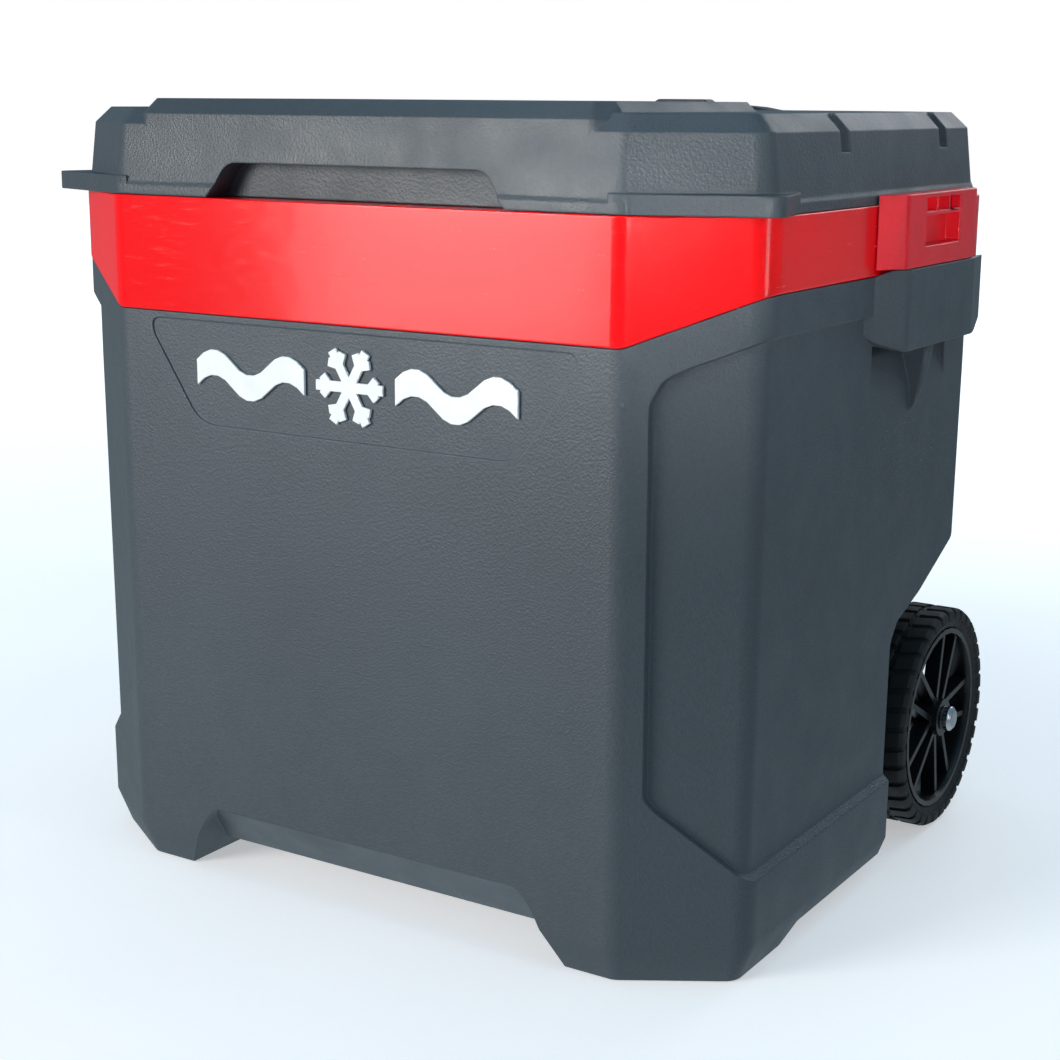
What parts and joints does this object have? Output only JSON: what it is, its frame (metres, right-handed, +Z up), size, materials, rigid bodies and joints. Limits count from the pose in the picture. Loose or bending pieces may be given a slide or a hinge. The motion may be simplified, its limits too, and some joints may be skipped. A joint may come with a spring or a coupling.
{
  "type": "rolling cooler chest",
  "caption": "Insulated hard cooler chest with hinged lid, gloss collar, side grips, rear wheels on an axle, telescoping pull handle and a screw drain.",
  "frame": {"origin": "on the floor, under the middle of the overall box", "axes": "+X along the long front, towards the right-hand side; -Y out of the front; +Y towards hinges, wheels and pull handle; +Z up"},
  "size_m": [0.6, 0.4932, 0.568],
  "materials": {
    "shell_slate": "matte",
    "lid_grey": "matte",
    "collar_red": "gloss",
    "handle_red": "satin",
    "emblem_white": "satin",
    "liner_white": "satin",
    "foam": "matte",
    "black_plastic": "satin",
    "tyre_rubber": "matte",
    "seal_rubber": "matte",
    "steel": "satin",
    "tube_aluminium": "satin"
  },
  "bodies": {
    "body": {"outer_shell": "shell_slate", "foam_core": "foam", "inner_liner": "liner_white", "top_collar": "collar_red", "emblem_snowflake": "emblem_white", "drain_spout": "liner_white", "drain_nut": "liner_white", "axle": "steel", "handle_top_bracket": "black_plastic", "handle_bottom_bracket": "black_plastic", "side_handle_left": "handle_red", "emblem_wave_left": "emblem_white", "axle_bracket_left": "black_plastic", "washer_left": "steel", "axle_cap_left": "steel", "outer_tube_left": "tube_aluminium", "bracket_screw_top_left": "steel", "bracket_screw_bottom_left": "steel", "hinge_body_left": "black_plastic", "hinge_pin_left": "steel", "hinge_body_screw_left_a": "steel", "hinge_body_screw_left_b": "steel", "side_handle_right": "handle_red", "emblem_wave_right": "emblem_white", "axle_bracket_right": "black_plastic", "washer_right": "steel", "axle_cap_right": "steel", "outer_tube_right": "tube_aluminium", "bracket_screw_top_right": "steel", "bracket_screw_bottom_right": "steel", "hinge_body_right": "black_plastic", "hinge_pin_right": "steel", "hinge_body_screw_right_a": "steel", "hinge_body_screw_right_b": "steel"},
    "lid": {"lid_shell": "lid_grey", "lid_foam": "foam", "lid_liner": "liner_white", "hinge_lid_left": "black_plastic", "hinge_lid_screw_left_a": "steel", "hinge_lid_screw_left_b": "steel", "hinge_lid_right": "black_plastic", "hinge_lid_screw_right_a": "steel", "hinge_lid_screw_right_b": "steel"},
    "pull_handle": {"inner_tube_left": "tube_aluminium", "inner_tube_right": "tube_aluminium", "grip": "black_plastic", "button_spring": "steel"},
    "release_button": {"release_button": "black_plastic"},
    "wheel_left": {"tyre_left": "tyre_rubber", "rim_left": "black_plastic"},
    "wheel_right": {"tyre_right": "tyre_rubber", "rim_right": "black_plastic"},
    "drain_seal": {"drain_gasket": "seal_rubber"},
    "drain_cap": {"drain_cap": "shell_slate"}
  },
  "joints": [
    {"name": "lid_hinge", "type": "hinge", "parent": "body", "child": "lid", "pos_m": [0, 0.1646, 0.53], "axis": [-1, 0, 0], "range_deg": [0, 90]},
    {"name": "handle_slide", "type": "slide", "parent": "body", "child": "pull_handle", "axis": [0, 0, 1], "range_m": [0, 0.328]},
    {"name": "button_press", "type": "slide", "parent": "pull_handle", "child": "release_button", "axis": [0, 0, -1], "range_m": [0, 0.004], "stiffness_N_per_m": 400, "springref_m": -0.004, "deforming": ["button_spring"]},
    {"name": "wheel_left_spin", "type": "hinge", "parent": "body", "child": "wheel_left", "pos_m": [-0.259, 0.1586, 0.088], "axis": [1, 0, 0], "continuous": true},
    {"name": "wheel_right_spin", "type": "hinge", "parent": "body", "child": "wheel_right", "pos_m": [0.259, 0.1586, 0.088], "axis": [1, 0, 0], "continuous": true},
    {"name": "drain_back_out", "type": "slide", "parent": "body", "child": "drain_seal", "axis": [-1, 0, 0], "range_m": [0, 0.015]},
    {"name": "drain_cap_turn", "type": "hinge", "parent": "drain_seal", "child": "drain_cap", "pos_m": [-0.2756, -0.0954, 0.089], "axis": [-1, 0, 0], "range_deg": [0, 1080.5]}
  ],
  "couplings": [
    {"joint": "drain_cap_turn", "follows": "drain_back_out", "rad_per_m": 1256.6}
  ]
}
